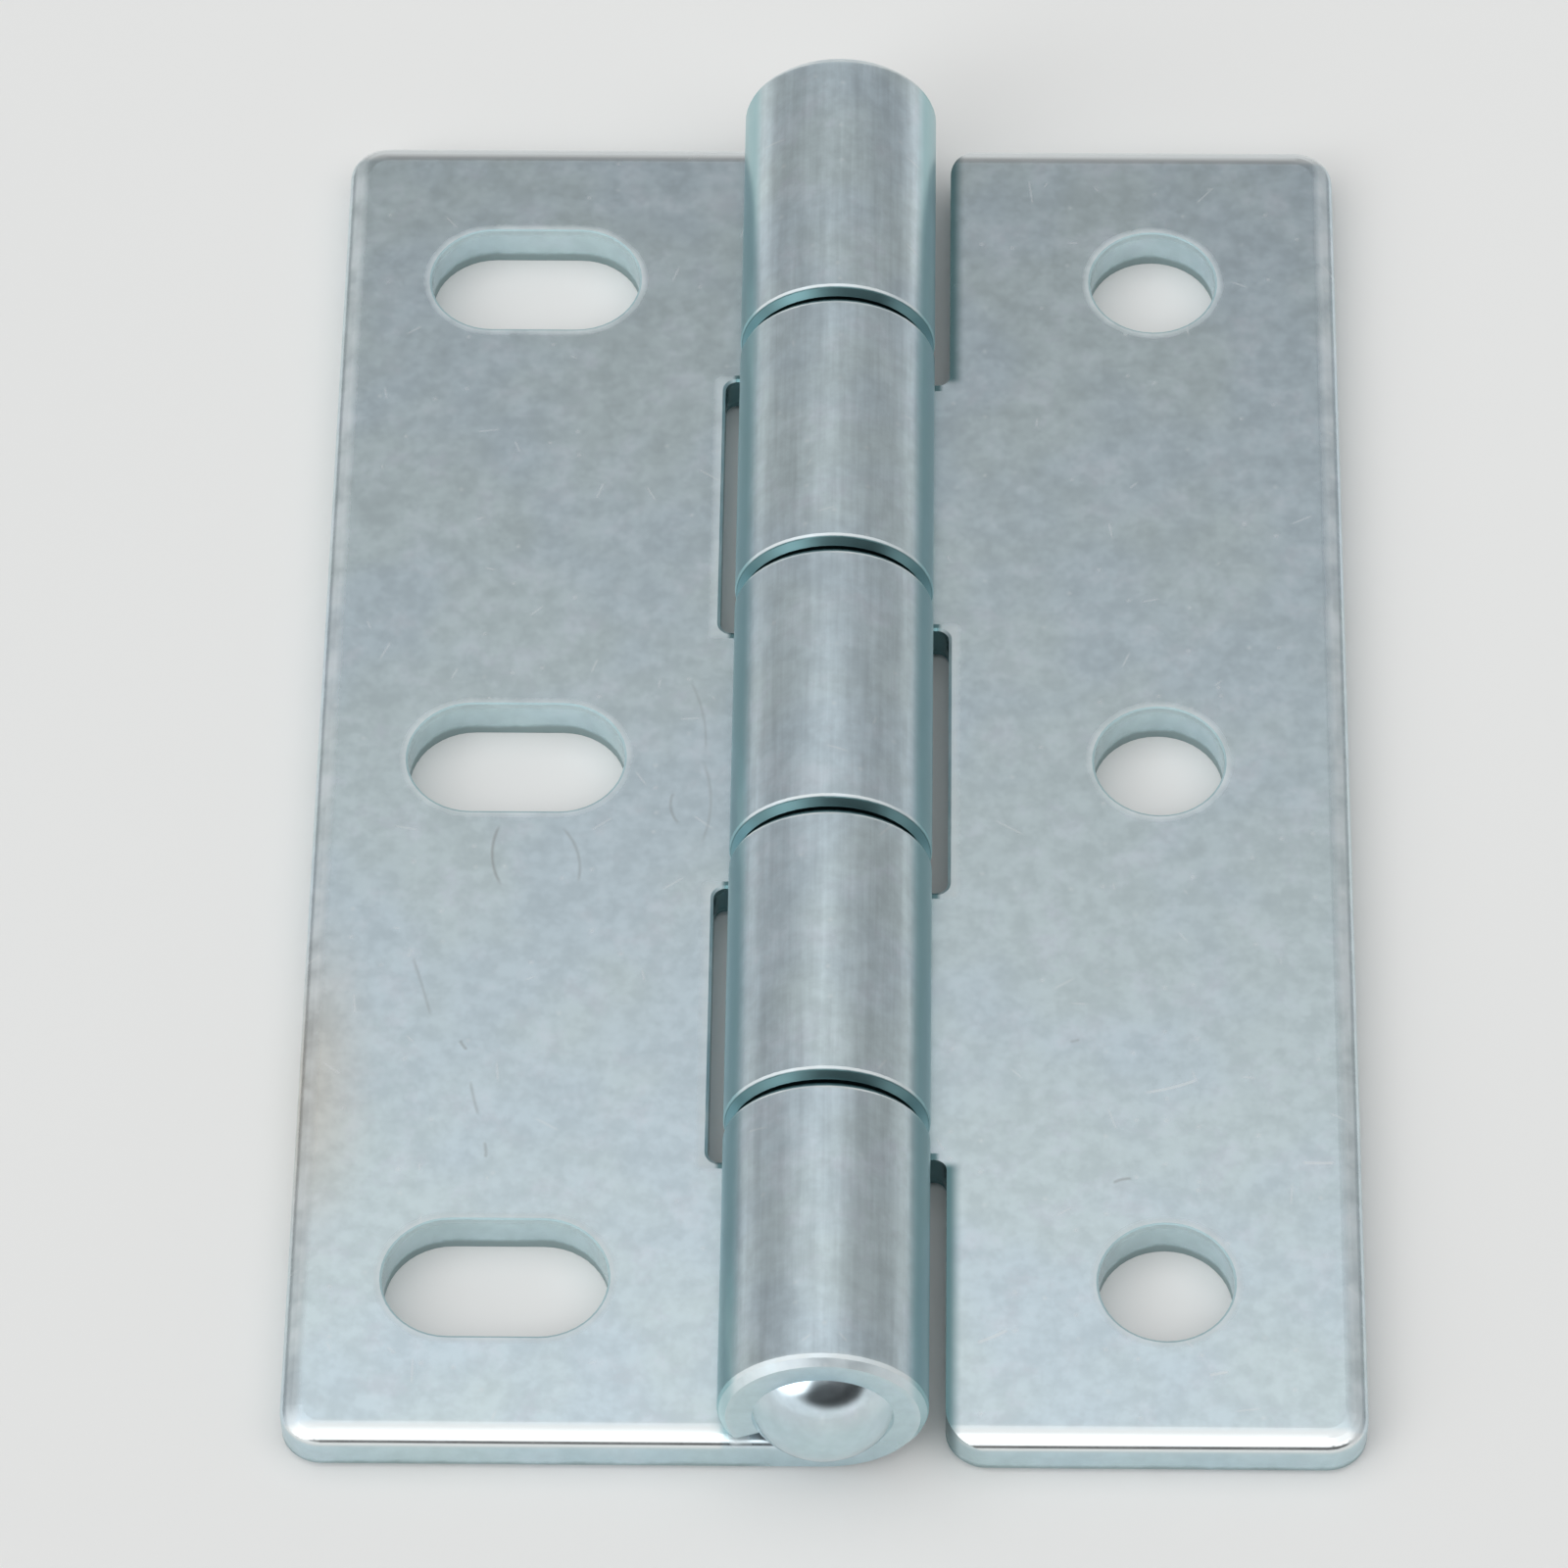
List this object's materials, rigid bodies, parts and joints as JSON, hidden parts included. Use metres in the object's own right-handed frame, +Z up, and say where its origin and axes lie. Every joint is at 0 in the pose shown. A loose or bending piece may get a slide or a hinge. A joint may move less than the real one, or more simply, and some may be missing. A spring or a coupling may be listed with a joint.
{
  "type": "cabinet hinge",
  "caption": "Steel butt hinge lying open flat: a slotted leaf and a leaf with round holes, their rolled knuckles on a headed pin, for hanging an electrical cabinet door.",
  "frame": {"origin": "on the mounting plane, under the middle of the pin", "axes": "+Y along the pin, +X across the leaves towards the leaf with round holes, +Z up from the mounting plane"},
  "size_m": [0.0522, 0.0836, 0.0101],
  "materials": {
    "leaf_zinc": "satin bright zinc plate with a faint blue passivation",
    "pin_zinc": "bright zinc plate"
  },
  "bodies": {
    "slotted_side": {"slotted_leaf": "leaf_zinc", "hinge_pin": "pin_zinc"},
    "round_hole_side": {"round_hole_leaf": "leaf_zinc"}
  },
  "joints": [
    {"name": "leaf_swing", "type": "hinge", "parent": "slotted_side", "child": "round_hole_side", "pos_m": [0, 0, 0.00505], "axis": [0, -1, 0], "range_deg": [-95, 190]}
  ]
}
